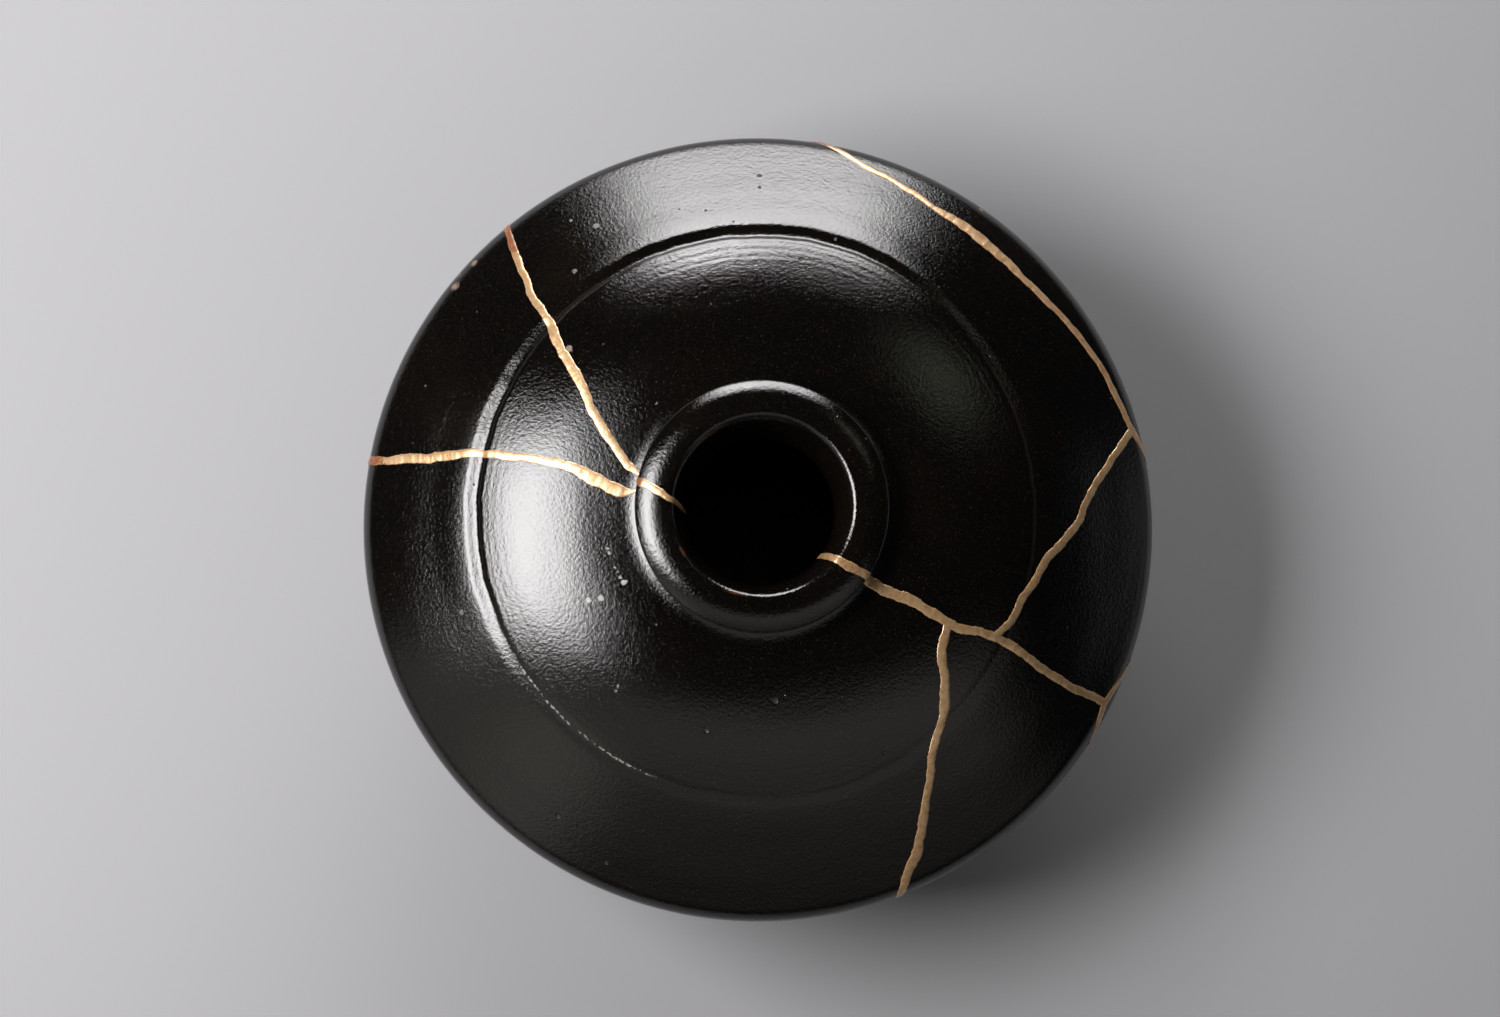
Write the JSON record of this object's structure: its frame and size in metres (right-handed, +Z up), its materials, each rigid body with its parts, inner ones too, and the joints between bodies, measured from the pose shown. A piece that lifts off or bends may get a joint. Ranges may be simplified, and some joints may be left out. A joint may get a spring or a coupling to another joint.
{
  "type": "kintsugi jar",
  "caption": "Wide squat stoneware jar with a short rolled lip and a sharp belly edge, broken and mended with raised gold lacquer joints.",
  "frame": {"origin": "middle of the foot ring's flat underside, the centre of the bottom of the bounding box", "axes": "+Z up along the axis of turning and out of the mouth; the long joint of the right side lies about 30 degrees from +X towards -Y"},
  "size_m": [0.28, 0.28, 0.1274],
  "materials": {
    "black_glaze": "gloss",
    "gold_lacquer": "satin"
  },
  "bodies": {
    "root": {"jar_body": "black_glaze", "sherd_left": "black_glaze", "sherd_upper_right": "black_glaze", "sherd_right": "black_glaze", "sherd_lower_right": "black_glaze", "gold_seam_left": "gold_lacquer", "gold_seam_right": "gold_lacquer"}
  },
  "joints": []
}
